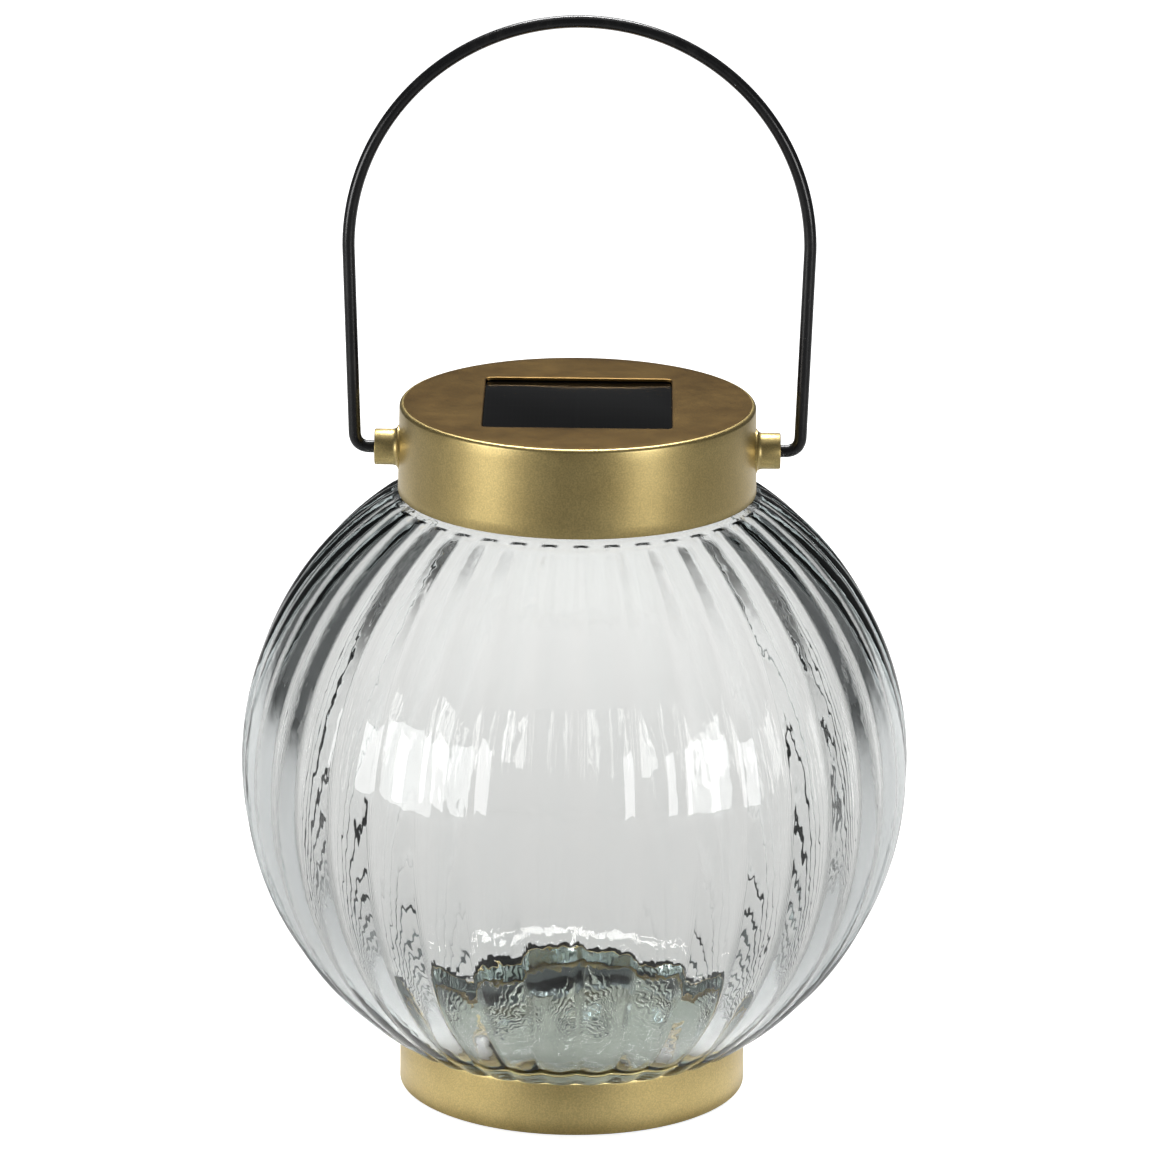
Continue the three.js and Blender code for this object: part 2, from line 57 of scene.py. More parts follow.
class Nodes:
    """A new material and short calls to build its node tree."""

    def __init__(self, name):
        self.material = bpy.data.materials.new(name)
        self.material.use_nodes = True
        self.tree = self.material.node_tree
        self.tree.nodes.clear()
        self.out = self.tree.nodes.new("ShaderNodeOutputMaterial")
        self.bsdf = self.node("ShaderNodeBsdfPrincipled")
        self.link(self.bsdf.outputs[0], self.out.inputs["Surface"])
        self.coords = self.node("ShaderNodeTexCoord").outputs["Object"]

    def node(self, kind, **values):
        made = self.tree.nodes.new(kind)
        for key, value in values.items():
            if hasattr(made, key):
                setattr(made, key, value)
            else:
                made.inputs[key.replace("_", " ").title()].default_value = value
        return made

    def link(self, a, b):
        self.tree.links.new(a, b)

    def set(self, **values):
        for key, value in values.items():
            self.bsdf.inputs[key.replace("_", " ")].default_value = value

    def noise(self, size, detail=2.0, roughness=0.5, stretch=None):
        """Noise whose features are about size metres across."""
        made = self.node("ShaderNodeTexNoise")
        made.inputs["Scale"].default_value = 1 / size
        made.inputs["Detail"].default_value = detail
        made.inputs["Roughness"].default_value = roughness
        source = self.coords
        if stretch:
            mapping = self.node("ShaderNodeMapping")
            mapping.inputs["Scale"].default_value = stretch
            self.link(source, mapping.inputs["Vector"])
            source = mapping.outputs[0]
        self.link(source, made.inputs["Vector"])
        return made.outputs["Fac"]

    def ramp(self, source, stops):
        """stops: (position, colour) pairs; a number stands for a grey."""
        made = self.node("ShaderNodeValToRGB")
        self.link(source, made.inputs[0])
        elements = made.color_ramp.elements
        while len(elements) < len(stops):
            elements.new(0.5)
        for element, (position, colour) in zip(elements, stops):
            element.position = position
            grey = (colour,) * 3 if isinstance(colour, (int, float)) else colour
            element.color = (*grey, 1)
        return made.outputs[0]

    def math(self, operation, a, b):
        made = self.node("ShaderNodeMath", operation=operation)
        for slot, value in enumerate((a, b)):
            if isinstance(value, (int, float)):
                made.inputs[slot].default_value = value
            else:
                self.link(value, made.inputs[slot])
        return made.outputs[0]

    def mix(self, kind, fac, a, b):
        made = self.node("ShaderNodeMix", data_type="RGBA", blend_type=kind)
        for slot, value in ((0, fac), (6, a), (7, b)):
            if isinstance(value, (int, float)):
                made.inputs[slot].default_value = value
            elif isinstance(value, tuple):
                made.inputs[slot].default_value = (*value, 1)
            else:
                self.link(value, made.inputs[slot])
        return made.outputs[2]

    def bump(self, height, strength, distance, after=None):
        made = self.node("ShaderNodeBump")
        made.inputs["Strength"].default_value = strength
        made.inputs["Distance"].default_value = distance
        self.link(height, made.inputs["Height"])
        if after is not None:
            self.link(after, made.inputs["Normal"])
        return made.outputs[0]

    def to(self, source, name):
        self.link(source, self.bsdf.inputs[name])


# ------------------------------------------------------------------- materials


def satin_gold(name, dark, light, mottle, rough, coat):
    """Gold coat on steel: fine metallic flakes, a soft large mottle and slightly rubbed patches."""
    m = Nodes(name)
    flakes = m.noise(0.35 * MM, 1.0, 0.6)
    clouds = m.noise(14 * MM, 4.0, 0.6)
    rubbed = m.noise(5 * MM, 3.0, 0.6, stretch=(1, 1, 3))
    base = m.ramp(clouds, [(0.5 - mottle, dark), (0.5 + mottle, light)])
    spark = m.ramp(flakes, [(0.35, 0.88), (0.52, 1.0), (0.70, 1.12)])
    m.to(m.mix("MULTIPLY", 1.0, base, spark), "Base Color")
    low = m.math("MULTIPLY_ADD", rubbed, 0.10)
    low.node.inputs[2].default_value = rough - 0.05
    grain = m.math("MULTIPLY_ADD", flakes, 0.12)
    m.link(low, grain.node.inputs[2])
    m.to(m.math("SUBTRACT", grain, 0.06), "Roughness")
    m.set(Metallic=1.0)
    m.set(Coat_Weight=coat, Coat_IOR=1.6, Coat_Roughness=0.26)
    fine = m.bump(flakes, 0.06, 0.06 * MM)
    m.to(m.bump(clouds, 0.05, 0.5 * MM, fine), "Normal")
    return m.material


def clear_glass():
    """Pressed glass with a faint green-blue body colour and a slightly uneven skin."""
    m = Nodes("fluted_glass")
    m.set(Roughness=0.0, IOR=1.5)
    m.bsdf.inputs["Transmission Weight"].default_value = 1.0
    m.bsdf.inputs["Base Color"].default_value = (1.0, 0.986, 0.974, 1)
    streaks = m.noise(9 * MM, 3.0, 0.55, stretch=(1, 1, 0.45))
    ripple = m.noise(3 * MM, 2.0, 0.5, stretch=(1, 1, 0.3))
    soft = m.bump(streaks, 0.08, 1.6 * MM)
    m.to(m.bump(ripple, 0.03, 0.5 * MM, soft), "Normal")
    body = m.node("ShaderNodeVolumeAbsorption")
    body.inputs["Color"].default_value = (0.69, 0.80, 0.815, 1)
    body.inputs["Density"].default_value = 46.0
    m.link(body.outputs[0], m.out.inputs["Volume"])
    return m.material


def coated_wire():
    """Black coat with a slight orange peel and paler scuffs."""
    m = Nodes("black_wire")
    peel = m.noise(0.9 * MM, 2.0, 0.5)
    scuffs = m.noise(2.5 * MM, 5.0, 0.7, stretch=(1, 1, 0.35))
    m.to(m.ramp(scuffs, [(0.55, (0.010, 0.010, 0.011)), (0.80, (0.030, 0.028, 0.027))]), "Base Color")
    m.to(m.ramp(scuffs, [(0.40, 0.24), (0.75, 0.42)]), "Roughness")
    m.bsdf.inputs["Coat Weight"].default_value = 0.35
    m.bsdf.inputs["Coat Roughness"].default_value = 0.15
    m.to(m.bump(peel, 0.25, 0.08 * MM), "Normal")
    return m.material


def solar_cell():
    """Near-black cell strips under clear resin, with fine collector lines and a few specks at the edges."""
    m = Nodes("solar_cell")
    lines = m.node("ShaderNodeTexWave", wave_type="BANDS", bands_direction="X", wave_profile="SIN")
    lines.inputs["Scale"].default_value = 0.5 / COLLECTOR_PITCH
    m.link(m.coords, lines.inputs["Vector"])
    strips = m.node("ShaderNodeTexBrick")
    m.link(m.coords, strips.inputs["Vector"])
    for key, value in (("Scale", 1.0), ("Mortar Size", 0.25 * MM), ("Mortar Smooth", 0.2),
                       ("Brick Width", CELL_STRIP[0]), ("Row Height", CELL_STRIP[1]), ("Bias", 0.0)):
        strips.inputs[key].default_value = value
    strips.offset = 0.0
    cell = m.ramp(lines.outputs["Fac"], [(0.90, (0.0010, 0.0009, 0.0011)), (0.99, (0.003, 0.0028, 0.003))])
    cell = m.mix("MIX", strips.outputs["Fac"], cell, (0.003, 0.003, 0.0033))
    specks = m.noise(0.5 * MM, 3.0, 0.7)
    dust = m.ramp(specks, [(0.72, 0.0), (0.80, 1.0)])
    m.to(m.mix("MIX", m.math("MULTIPLY", dust, 0.15), cell, (0.08, 0.07, 0.06)), "Base Color")
    smears = m.noise(7 * MM, 3.0, 0.6)
    m.to(m.ramp(smears, [(0.35, 0.05), (0.75, 0.16)]), "Roughness")
    m.to(m.bump(smears, 0.05, 0.3 * MM), "Normal")
    m.set(IOR=1.30)
    return m.material


def moulded(name, colour, rough, grain=0.5, strength=0.25):
    """Moulded plastic, foam or rubber: fine surface texture and uneven gloss."""
    m = Nodes(name)
    fine = m.noise(grain * MM, 3.0, 0.6)
    wide = m.noise(8 * MM, 3.0, 0.6)
    dark = tuple(c * 0.78 for c in colour)
    light = tuple(min(1, c * 1.18 + 0.004) for c in colour)
    m.to(m.ramp(wide, [(0.3, dark), (0.7, light)]), "Base Color")
    m.to(m.ramp(fine, [(0.3, max(0, rough - 0.08)), (0.7, min(1, rough + 0.1))]), "Roughness")
    m.to(m.bump(fine, strength, 0.1 * MM), "Normal")
    return m.material


def plated_steel():
    """Brushed steel for screws, springs and contacts."""
    m = Nodes("steel")
    brush = m.noise(0.4 * MM, 3.0, 0.6, stretch=(1, 6, 1))
    m.to(m.ramp(brush, [(0.3, (0.46, 0.47, 0.48)), (0.7, (0.68, 0.69, 0.71))]), "Base Color")
    m.to(m.ramp(brush, [(0.3, 0.22), (0.7, 0.38)]), "Roughness")
    m.set(Metallic=1.0)
    m.to(m.bump(brush, 0.1, 0.03 * MM), "Normal")
    return m.material


def circuit_green():
    """Green board with a pattern of tracks under its coat."""
    m = Nodes("board")
    tracks = m.node("ShaderNodeTexBrick")
    m.link(m.coords, tracks.inputs["Vector"])
    for key, value in (("Scale", 1.0), ("Mortar Size", 0.22 * MM), ("Brick Width", 4.3 * MM),
                       ("Row Height", 1.9 * MM)):
        tracks.inputs[key].default_value = value
    m.to(m.mix("MIX", tracks.outputs["Fac"], (0.010, 0.085, 0.030), (0.035, 0.20, 0.07)), "Base Color")
    wide = m.noise(3 * MM, 2.0, 0.5)
    m.to(m.ramp(wide, [(0.3, 0.25), (0.7, 0.45)]), "Roughness")
    m.to(m.bump(tracks.outputs["Fac"], 0.2, 0.05 * MM), "Normal")
    return m.material


def clear_resin():
    """Slightly hazy clear plastic of the lamp and its lens."""
    m = Nodes("clear_plastic")
    haze = m.noise(2 * MM, 2.0, 0.5)
    m.to(m.ramp(haze, [(0.3, 0.10), (0.7, 0.22)]), "Roughness")
    m.set(IOR=1.49)
    m.bsdf.inputs["Transmission Weight"].default_value = 0.9
    m.bsdf.inputs["Base Color"].default_value = (0.95, 0.95, 0.90, 1)
    m.to(m.bump(haze, 0.08, 0.1 * MM), "Normal")
    return m.material


GOLD_SIDE = satin_gold("satin_gold", (0.62, 0.475, 0.190), (0.71, 0.555, 0.232), 0.22, 0.40, 0.35)
# The cap's top face gets a darker copy of the same gold: painted shade, darker than the side only because of how
# light falls on it.
GOLD_TOP_PAINTED_SHADE = satin_gold("satin_gold_top_painted_shade", (0.20, 0.118, 0.036), (0.29, 0.180, 0.058), 0.14, 0.34, 0.0)
GLASS = clear_glass()
WIRE = coated_wire()
CELL_PANEL = solar_cell()
BLACK_PLASTIC = moulded("black_plastic", (0.022, 0.022, 0.024), 0.48)
SILICONE = moulded("silicone", (0.55, 0.56, 0.53), 0.55)
FOAM = moulded("foam", (0.030, 0.030, 0.030), 0.92, grain=0.8, strength=0.8)
# Grey felt, darkened below its own colour as painted shade for the glass above it, which casts no shadow.
FELT_WITH_PAINTED_SHADE = moulded("grey_felt_painted_shade", (0.22, 0.235, 0.20), 0.95, grain=0.9, strength=0.8)
BOARD = circuit_green()
STEEL = plated_steel()
CELL_WRAP = moulded("cell_wrap", (0.035, 0.30, 0.09), 0.30, grain=2.0, strength=0.1)
CLEAR = clear_resin()
RED = moulded("red_lead", (0.45, 0.02, 0.015), 0.40)
BLACK_LEAD = moulded("black_lead", (0.012, 0.012, 0.012), 0.40)

BY_SLOT = {
    "brass_finish": GOLD_SIDE,
    "fluted_glass": GLASS,
    "black_wire": WIRE,
    "solar_cell": CELL_PANEL,
    "black_plastic": BLACK_PLASTIC,
    "silicone": SILICONE,
    "foam": FOAM,
    "board": BOARD,
    "steel": STEEL,
    "cell_wrap": CELL_WRAP,
    "clear_plastic": CLEAR,
    "red_lead": RED,
    "black_lead": BLACK_LEAD,
}
for part in frame["record"]["subparts"]:
    node = frame["nodes"][part["node"]]
    for slot in node.material_slots:
        slot.link = "OBJECT"
        # the base pad gets the grey felt darkened with painted shade
        slot.material = FELT_WITH_PAINTED_SHADE if part["node"] == "base_pad" else BY_SLOT[part["material_slot"]]


# --------------------------------------------------------------- mesh helpers


def make(name, verts, faces, materials, body, replaced, face_material=None):
    """A smooth piece on the scene that rides on the body and replaces the CAD nodes."""
    mesh = bpy.data.meshes.new(name)
    mesh.from_pydata([tuple(v) for v in verts], [], faces)
    mesh.validate()
    for material in materials:
        mesh.materials.append(material)
    if face_material:
        for polygon, index in zip(mesh.polygons, face_material):
            polygon.material_index = index
    mesh.polygons.foreach_set("use_smooth", [True] * len(mesh.polygons))
    mesh.update()
    piece = bpy.data.objects.new(name, mesh)
    bpy.context.scene.collection.objects.link(piece)
    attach(piece, body)
    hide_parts(*replaced)
    return piece


def sharpen(piece, degrees=35):
    """Marks edges sharper than the angle, so that smooth shading stops at them."""
    mesh = piece.data
    faces_of = {}
    for polygon in mesh.polygons:
        for key in polygon.edge_keys:
            faces_of.setdefault(key, []).append(polygon.normal)
    limit = math.radians(degrees)
    for edge in mesh.edges:
        normals = faces_of.get(tuple(sorted(edge.vertices)), ())
        edge.use_edge_sharp = len(normals) == 2 and normals[0].angle(normals[1], 0) > limit
    return piece


def lathe(profile, segments, place=lambda r, h, a: (r * math.cos(a), r * math.sin(a), h)):
    """Verts and faces of a closed profile of (radius, height) pairs turned about an axis.
    A profile that starts and ends on the axis gets a pole at each end."""
    verts, faces, rows = [], [], []
    for r, h in profile:
        if r == 0:
            rows.append([len(verts)])
            verts.append(place(0, h, 0))
        else:
            rows.append(list(range(len(verts), len(verts) + segments)))
            verts += [place(r, h, TAU * k / segments) for k in range(segments)]
    closed = len(rows[0]) > 1
    pairs = list(zip(rows, rows[1:] + rows[:1] if closed else rows[1:]))
    for low, high in pairs:
        for k in range(segments):
            n = (k + 1) % segments
            if len(low) == 1 and len(high) == 1:
                continue
            if len(low) == 1:
                faces.append((low[0], high[n], high[k]))
            elif len(high) == 1:
                faces.append((low[k], low[n], high[0]))
            else:
                faces.append((low[k], low[n], high[n], high[k]))
    return verts, faces


def rounded(points, radius, steps=4):
    """The profile with each inner corner of the list rounded by an arc-like curve of about radius."""
    out = [points[0]]
    for before, at, after in zip(points, points[1:], points[2:]):
        a, b, c = (Vector((*p, 0)) for p in (before, at, after))
        cut = min(radius, (a - b).length * 0.45, (c - b).length * 0.45)
        start, end = b + (a - b).normalized() * cut, b + (c - b).normalized() * cut
        for i in range(steps + 1):
            t = i / steps
            p = start * (1 - t) ** 2 + b * 2 * t * (1 - t) + end * t**2
            out.append((p.x, p.y))
    out.append(points[-1])
    return out


# ----------------------------------------------------------------- glass globe

glass_lo, glass_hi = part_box("glass_globe")
cap_lo, cap_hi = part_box("cap_shell")
base_lo, base_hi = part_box("base_ring")

FLUTES, PER_FLUTE = 38, 10
FLUTE_TURN = math.radians(-2.9)
FLUTE_DEPTH = 1.1 * MM
GLOBE_R = (glass_hi.x - glass_lo.x) / 2
GLOBE_Z = 76 * MM
FOOT_R, SEAT_Z = 38 * MM, 12.6 * MM
WALL = 4 * MM
NECK_R, MOUTH_R = 34.6 * MM, 30.6 * MM
RIM_Z = glass_hi.z
RIBS_FROM_Z, RIBS_TO_Z = SEAT_Z + 1.4 * MM, 137.5 * MM
SHOULDER_EDGE = (40.6 * MM, 139.1 * MM)
RIBS_FADE_Z, RIBS_FADE = 138.8 * MM, 0.5 * MM
INNER_TOP_Z = 139 * MM
THREAD_PITCH, THREAD_Z, THREAD_H = 4 * MM, 145.5 * MM, 1.3 * MM


def ridge(angle, z):
    """How far the neck's thread stands out here."""
    turn = (angle % TAU) / TAU
    off = abs(z - THREAD_Z - turn * THREAD_PITCH) / MM
    run_out = min(1, turn / 0.12, (1 - turn) / 0.12)
    return THREAD_H * max(0, run_out) * max(0, min(1, (1.0 - off) / 0.35))


def globe_glass():
    """One closed skin from the middle of the foot, up the fluted outside and down the inside."""
    outer_rows, inner_rows = 120, 56
    low = math.asin((RIBS_FROM_Z - GLOBE_Z) / GLOBE_R)
    high = math.asin((RIBS_TO_Z - GLOBE_Z) / GLOBE_R)
    rows = [("foot", 0.0, glass_lo.z)]
    rows += [("foot", f * FOOT_R, glass_lo.z) for f in (0.3, 0.6, 0.85)]
    foot_top = (FOOT_R, SEAT_Z - 0.3 * MM)
    foot = rounded([(0.9 * FOOT_R, glass_lo.z), (FOOT_R, glass_lo.z), foot_top], 1.0 * MM, 4)
    rows += [("foot", r, z) for r, z in foot]
    outside = []
    for i in range(outer_rows + 1):
        a = low + (high - low) * i / outer_rows
        outside.append((GLOBE_R * math.cos(a), GLOBE_Z + GLOBE_R * math.sin(a)))
    seat = rounded([foot_top, (FOOT_R, SEAT_Z), (41.0 * MM, SEAT_Z), outside[0]], 1.0 * MM, 4)
    rows += [("outer" if r > 39.5 * MM else "foot", r, z) for r, z in seat[1:-1]]
    rows += [("outer", r, z) for r, z in outside]
    edge_r, edge_z = outside[-1]
    turn_r, turn_z = SHOULDER_EDGE
    slope = [(edge_r + (turn_r - edge_r) * f, edge_z + (turn_z - edge_z) * f)
             for f in (0, 0.3, 0.5, 0.6, 0.7, 0.8)]
    shoulder = rounded([*slope, SHOULDER_EDGE, (37.8 * MM, 140.1 * MM),
                        (34.8 * MM, 141.2 * MM), (NECK_R, 142.4 * MM)], 0.9 * MM, 3)
    rows += [("shoulder", r, z) for r, z in shoulder[1:]]
    rows += [("neck", NECK_R, 142.8 * MM + i * 0.42 * MM) for i in range(21)]
    rim = rounded([(NECK_R, 151.7 * MM), (NECK_R, RIM_Z), (MOUTH_R, RIM_Z), (MOUTH_R, 151.0 * MM)],
                  0.9 * MM, 4)
    rows += [("rim", r, z) for r, z in rim]
    inner_r = GLOBE_R - WALL
    top = math.acos(MOUTH_R / inner_r)
    rows += [("rim", MOUTH_R, z * MM) for z in (148, 145, 142)]
    for i in range(inner_rows + 1):
        a = top + (-math.asin(0.8) - top) * i / inner_rows
        rows.append(("inner", inner_r * math.cos(a), GLOBE_Z + inner_r * math.sin(a)))
    bottom = rounded([(inner_r * 0.6, GLOBE_Z - inner_r * 0.8), (36 * MM, 16.4 * MM), (30 * MM, 14.6 * MM),
                      (16 * MM, 13.1 * MM), (6 * MM, 12.7 * MM)], 3 * MM, 3)
    rows += [("floor", r, z) for r, z in bottom[1:]]
    rows.append(("floor", 0.0, 12.6 * MM))

    segments = FLUTES * PER_FLUTE
    verts, faces, index = [], [], []
    for kind, r, z in rows:
        if r == 0:
            index.append([len(verts)])
            verts.append((0, 0, z))
            continue
        start = len(verts)
        for k in range(segments):
            # angle from the front, growing towards +X
            a = TAU * k / segments + FLUTE_TURN
            across = 2 * ((k / PER_FLUTE + 0.5) % 1) - 1
            rr, zz = r, z
            if kind in ("outer", "shoulder"):
                fade = 1.0 if kind == "outer" else max(0, min(1, (RIBS_FADE_Z - z) / RIBS_FADE))
                wander = 1 + 0.22 * noise.noise(Vector((a * 9, z * 22, 3.1)))
                rr -= FLUTE_DEPTH * fade * min(1, abs(across) ** 1.8 * wander)
            elif kind == "neck":
                # the thread starts at +X
                rr += ridge(math.atan2(-math.cos(a), math.sin(a)), z)
            elif kind in ("inner", "floor"):
                p = Vector((r * math.sin(a), -r * math.cos(a), z * 0.55)) / (11 * MM)
                q = Vector((r * math.sin(a), -r * math.cos(a), z * 0.8)) / (26 * MM)
                swell = 0.05 * noise.noise(p) + 0.50 * noise.noise(q + Vector((7, 3, 1)))
                ring = 0.16 * (1 - abs(across) ** 1.8)
                depth = (swell + ring) * MM * min(1, r / (12 * MM))
                if kind == "inner" and z > 130 * MM:
                    depth *= max(0, (INNER_TOP_Z - z) / (9 * MM))
                rr += depth * (r / inner_r)
                zz += depth * (z - GLOBE_Z) / inner_r
            verts.append((rr * math.sin(a), -rr * math.cos(a), zz))
        index.append(list(range(start, start + segments)))
    for low_row, high_row in zip(index, index[1:]):
        for k in range(segments):
            n = (k + 1) % segments
            if len(low_row) == 1:
                faces.append((low_row[0], high_row[n], high_row[k]))
            elif len(high_row) == 1:
                faces.append((low_row[k], low_row[n], high_row[0]))
            else:
                faces.append((low_row[k], low_row[n], high_row[n], high_row[k]))
    piece = make("globe_glass", verts, faces, [GLASS], "globe", ["glass_globe"])
    # Light passes the clear glass and reaches what is inside and under it.
    piece.visible_shadow = False


globe_glass()

# ------------------------------------------------------------- base ring, gold


def base_dish():
    """Turned dish: a thin ring with a floor a little above its lower edge."""
    r = (base_hi.x - base_lo.x) / 2
    z0, z1 = base_lo.z, base_hi.z
    wall = 1.0 * MM
    outline = [(0, 1.5 * MM), (r - wall, 1.5 * MM), (r - wall, z0), (r, z0), (r, z1), (r - wall, z1),
               (r - wall, 2.5 * MM), (0, 2.5 * MM)]
    verts, faces = lathe(rounded(outline, 0.35 * MM, 4), 256)
    return sharpen(make("base_dish", verts, faces, [GOLD_SIDE], "globe", ["base_ring"]), 50)


base_dish()

# ------------------------------------------------------------------- cap, gold


def cap_cover():
    """One sheet-metal shell: open below, with a square window through its top."""
    segments = 256
    r0, r1 = (cap_hi.x - cap_lo.x) / 2, 39.9 * MM
    top, bottom, wall = cap_hi.z, cap_lo.z, 0.6 * MM
    edge = 0.9 * MM
    half = 21.0 * MM
    round_r = 0.3 * MM
    square_order = 40.0
    rings = []

    def circle(r, z):
        turns = [TAU * k / segments for k in range(segments)]
        return [(r * math.cos(a), r * math.sin(a), z) for a in turns]

    def window(h, z):
        points = []
        for k in range(segments):
            c, s = math.cos(TAU * k / segments), math.sin(TAU * k / segments)
            # superellipse of high order: a square with small rounded corners
            t = (abs(c) ** square_order + abs(s) ** square_order) ** (-1 / square_order)
            points.append((h * t * c, h * t * s, z))
        return points

    rings.append(circle(r0 - wall, bottom + 0.15 * MM))
    rings.append(circle(r0 - wall + 0.15 * MM, bottom))
    rings.append(circle(r0 - 0.22 * MM, bottom))
    rings.append(circle(r0 - 0.06 * MM, bottom + 0.08 * MM))
    rings.append(circle(r0, bottom + 0.3 * MM))
    for i in range(1, 8):
        t = i / 8
        rings.append(circle(r0 + (r1 - r0) * t, bottom + 0.3 * MM + (top - edge - bottom - 0.3 * MM) * t))
    for i in range(7):
        a = math.pi / 2 * i / 6
        rings.append(circle(r1 - edge + edge * math.cos(a), top - edge + edge * math.sin(a)))
    corner_rings = len(rings)
    for f in (0.15, 0.4, 0.7, 0.93):
        inner, outer = window(half + round_r, top), circle(r1 - edge, top)
        rings.append([tuple(Vector(a) * f + Vector(b) * (1 - f)) for a, b in zip(inner, outer)])
    for i in range(4):
        a = math.pi / 2 * i / 3
        rings.append(window(half + round_r * (1 - math.sin(a)), top - round_r * (1 - math.cos(a))))
    rings.append(window(half, top - wall))
    rings.append([tuple(Vector(a) * 0.5 + Vector(b) * 0.5)
                  for a, b in zip(window(half, top - wall), circle(r1 - wall - 0.3 * MM, top - wall))])
    rings.append(circle(r1 - wall - 0.3 * MM, top - wall))
    rings.append(circle(r1 - wall, top - wall - 0.3 * MM))
    verts = [p for ring in rings for p in ring]
    faces, which = [], []
    count = len(rings)
    for i in range(count):
        j = (i + 1) % count
        for k in range(segments):
            n = (k + 1) % segments
            faces.append((i * segments + k, i * segments + n, j * segments + n, j * segments + k))
            # from the upper edge inwards the faces have the top's darker gold, painted shade for the top face
            which.append(1 if corner_rings - 1 <= i < count - 1 else 0)
    piece = make("cap_cover", verts, faces, [GOLD_SIDE, GOLD_TOP_PAINTED_SHADE], "cap", ["cap_shell"],
                 face_material=which)
    return sharpen(piece, 40)


cap_cover()


def boss(side):
    """A turned boss with a softly flared root on the cap's wall and a bore for the wire."""
    name = "handle_boss_left" if side < 0 else "handle_boss_right"
    lo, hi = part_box(name)
    out = max(abs(lo.x), abs(hi.x))
    centre, r = (lo.z + hi.z) / 2, (hi.z - lo.z) / 2
    root, bore_r, bore_end = 39.75 * MM, 1.47 * MM, 40.7 * MM
    flare_r, flare_from, flare_length = 0.9 * MM, root + 0.45 * MM, 1.3 * MM
    flare = []
    for i in range(7):
        a = math.pi / 2 * i / 6
        flare.append((r + flare_r * (1 - math.sin(a)), flare_from + flare_length * (1 - math.cos(a))))
    profile = [(0, root), (r + flare_r, root), *flare, (r, out - 0.3 * MM), (r - 0.08 * MM, out - 0.1 * MM),
               (r - 0.3 * MM, out), (1.75 * MM, out), (1.52 * MM, out - 0.12 * MM),
               (bore_r, out - 0.4 * MM),
               (bore_r, bore_end), (0, bore_end)]
    place = lambda q, h, a: (side * h, side * q * math.cos(a), centre + q * math.sin(a))
    verts, faces = lathe(profile, 72, place)
    return sharpen(make(f"boss_{'left' if side < 0 else 'right'}", verts, faces, [GOLD_SIDE], "cap", [name]), 40)


boss(-1)
boss(1)

# ----------------------------------------------------------------- solar panel


def panel():
    """A resin-topped slab with softened edges and the cell strips just under its face."""
    lo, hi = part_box("solar_panel")
    verts, faces, rings = [], [], []
    outline = 64
    square_order = 12

    def square(half_x, half_y, z):
        points = []
        for k in range(outline):
            a = TAU * (k + 0.5) / outline
            c, s = math.cos(a), math.sin(a)
            t = (abs(c) ** square_order + abs(s) ** square_order) ** (-1 / square_order)
            points.append((half_x * t * c, half_y * t * s, z))
        return points

    hx, hy = hi.x, hi.y
    for inset, z in ((0.4, lo.z), (0.0, lo.z + 0.4 * MM), (0.0, hi.z - 0.7 * MM), (0.12, hi.z - 0.35 * MM),
                     (0.45, hi.z - 0.08 * MM), (1.0, hi.z)):
        rings.append(square(hx - inset * MM, hy - inset * MM, z))
    verts = [p for ring in rings for p in ring]
    for i in range(len(rings) - 1):
        for k in range(outline):
            n = (k + 1) % outline
            faces.append((i * outline + k, i * outline + n, (i + 1) * outline + n, (i + 1) * outline + k))
    faces.append(tuple(range((len(rings) - 1) * outline, len(rings) * outline)))
    faces.append(tuple(reversed(range(outline))))
    return sharpen(make("panel_slab", verts, faces, [CELL_PANEL], "cap", ["solar_panel"]), 50)


panel()

# ------------------------------------------------------------------------ bail


def bail():
    """Round wire along the bail's centre line: stub, bend, leaning leg and arch, and the same back."""
    lo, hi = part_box("handle_wire")
    r = (hi.y - lo.y) / 2
    arch_r = hi.x - r
    spring_z = hi.z - r - arch_r
    pivot_z = lo.z + r
    foot_x, bend_r, end_x = 49.9 * MM, 3.6 * MM, 41 * MM
    half = []
    for i in range(8):
        half.append(Vector((end_x + (foot_x - bend_r - end_x) * i / 8, 0, pivot_z)))
    a = Vector((foot_x - bend_r, 0, pivot_z))
    b = Vector((foot_x, 0, pivot_z))
    c = Vector((foot_x, 0, pivot_z + bend_r))
    for i in range(14):
        t = i / 14
        half.append(a * (1 - t) ** 2 + b * 2 * t * (1 - t) + c * t**2)
    spring = Vector((arch_r, 0, spring_z))
    for i in range(30):
        t = i / 30
        half.append(c.lerp(spring, t))
    for i in range(61):
        t = math.pi / 2 * i / 60
        half.append(Vector((arch_r * math.cos(t), 0, spring_z + arch_r * math.sin(t))))
    path = half + [Vector((-p.x, 0, p.z)) for p in reversed(half[:-1])]
    sides = 24
    verts, faces = [], []
    count = len(path)
    for i, p in enumerate(path):
        tangent = (path[min(i + 1, count - 1)] - path[max(i - 1, 0)]).normalized()
        up = Vector((0, 1, 0))
        across = tangent.cross(up)
        for k in range(sides):
            t = TAU * k / sides
            verts.append(p + across * r * math.cos(t) + up * r * math.sin(t))
    for i in range(count - 1):
        for k in range(sides):
            n = (k + 1) % sides
            faces.append((i * sides + k, (i + 1) * sides + k, (i + 1) * sides + n, i * sides + n))
    faces.append(tuple(range(sides)))
    faces.append(tuple(reversed(range((count - 1) * sides, count * sides))))
    return sharpen(make("bail_wire", verts, faces, [WIRE], "bail", ["handle_wire"]), 60)


bail()

# ------------------------------------------- smooth shading on the CAD pieces

for name, node in frame["nodes"].items():
    if node.hide_render:
        continue
    node.data.polygons.foreach_set("use_smooth", [True] * len(node.data.polygons))
    sharpen(node, 32)

# ---------------------------------------------------- floor, light and camera


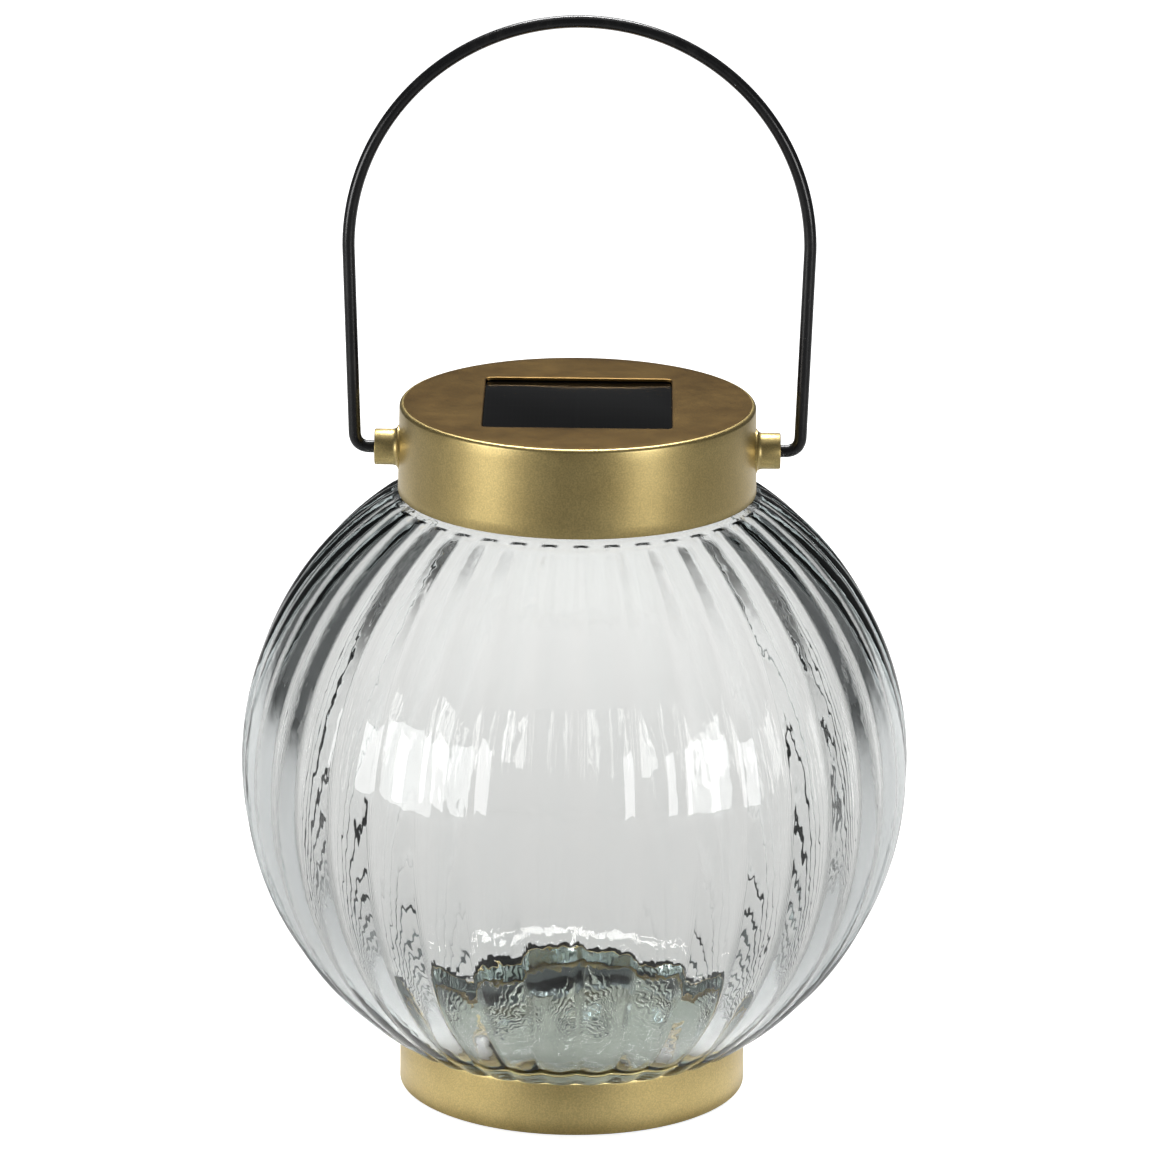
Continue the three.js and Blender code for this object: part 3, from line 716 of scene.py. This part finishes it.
def soft_box(name, azimuth, height, distance, width, tall, radiance, aim=(0, 0, 0.12)):
    """A rectangular soft light. azimuth is from the front (-Y), growing towards +X."""
    a = math.radians(azimuth)
    data = bpy.data.lights.new(name, "AREA")
    data.shape = "RECTANGLE"
    data.size, data.size_y = width, tall
    data.energy = radiance * math.pi * width * tall
    light = bpy.data.objects.new(name, data)
    bpy.context.scene.collection.objects.link(light)
    light.location = (distance * math.sin(a), -distance * math.cos(a), height)
    toward = Vector(aim) - light.location
    light.rotation_euler = toward.to_track_quat("-Z", "Y").to_euler()
    light.visible_camera = False


def floor():
    """Plain pale paper. The camera sees it a little overexposed, so that it reads as white."""
    half = 12.0
    overexposed = 0.80
    mesh = bpy.data.meshes.new("floor")
    corners = [(-half, -half, 0), (half, -half, 0), (half, half, 0), (-half, half, 0)]
    mesh.from_pydata(corners, [], [(0, 1, 2, 3)])
    m = Nodes("floor_paper")
    m.bsdf.inputs["Base Color"].default_value = (0.62, 0.62, 0.62, 1)
    m.set(Roughness=0.9)
    m.bsdf.inputs["Specular IOR Level"].default_value = 0.0
    rays = m.node("ShaderNodeLightPath").outputs
    glow = m.node("ShaderNodeEmission")
    m.link(m.math("MULTIPLY", rays["Is Camera Ray"], overexposed), glow.inputs["Strength"])
    paper = m.node("ShaderNodeAddShader")
    m.link(m.bsdf.outputs[0], paper.inputs[0])
    m.link(glow.outputs[0], paper.inputs[1])
    m.link(paper.outputs[0], m.out.inputs["Surface"])
    mesh.materials.append(m.material)
    piece = bpy.data.objects.new("floor", mesh)
    bpy.context.scene.collection.objects.link(piece)


floor()
soft_box("light_left", -56, 0.22, 1.2, 0.50, 0.42, 6.0)
soft_box("light_right", 44, 0.22, 1.2, 0.35, 0.42, 6.0)
soft_box("light_back", 180, 0.72, 0.38, 0.40, 0.30, 23.0, aim=(0, 0.72, 0))
soft_box("light_top", 0, 1.7, 0.05, 1.1, 1.1, 0.4)

world = bpy.data.worlds.new("studio")
world.use_nodes = True
sky = world.node_tree.nodes["Background"]
sky.inputs["Color"].default_value = (0.085, 0.087, 0.088, 1)
# The room is dim, and the camera sees it as pale as the floor.
sky_rays = world.node_tree.nodes.new("ShaderNodeLightPath")
sky_level = world.node_tree.nodes.new("ShaderNodeMath")
sky_level.operation = "MULTIPLY_ADD"
sky_level.inputs[1].default_value = 10.0
sky_level.inputs[2].default_value = 1.0
world.node_tree.links.new(sky_rays.outputs["Is Camera Ray"], sky_level.inputs[0])
world.node_tree.links.new(sky_level.outputs[0], sky.inputs["Strength"])
bpy.context.scene.world = world


def photo_camera():
    """Longest side 36 mm wide; the whole set-up is turned a little about the lantern's axis."""
    pitch, roll, turn = math.radians(16.593), math.radians(0.533), math.radians(0.470)
    data = bpy.data.cameras.new("camera")
    data.sensor_width, data.lens = 36.0, 227.68
    data.clip_start, data.clip_end = 0.05, 60
    camera = bpy.data.objects.new("camera", data)
    bpy.context.scene.collection.objects.link(camera)
    forward = Vector((0, math.cos(pitch), -math.sin(pitch)))
    right, up = Vector((1, 0, 0)), Vector((0, math.sin(pitch), math.cos(pitch)))
    x_axis = right * math.cos(roll) + up * math.sin(roll)
    y_axis = -right * math.sin(roll) + up * math.cos(roll)
    pose = Matrix((x_axis, y_axis, -forward)).transposed().to_4x4()
    pose.translation = Vector((-0.00029, -1.56883, 0.58727))
    camera.matrix_world = Matrix.Rotation(turn, 4, "Z") @ pose
    bpy.context.scene.camera = camera


photo_camera()
bpy.context.scene.view_settings.view_transform = "Standard"
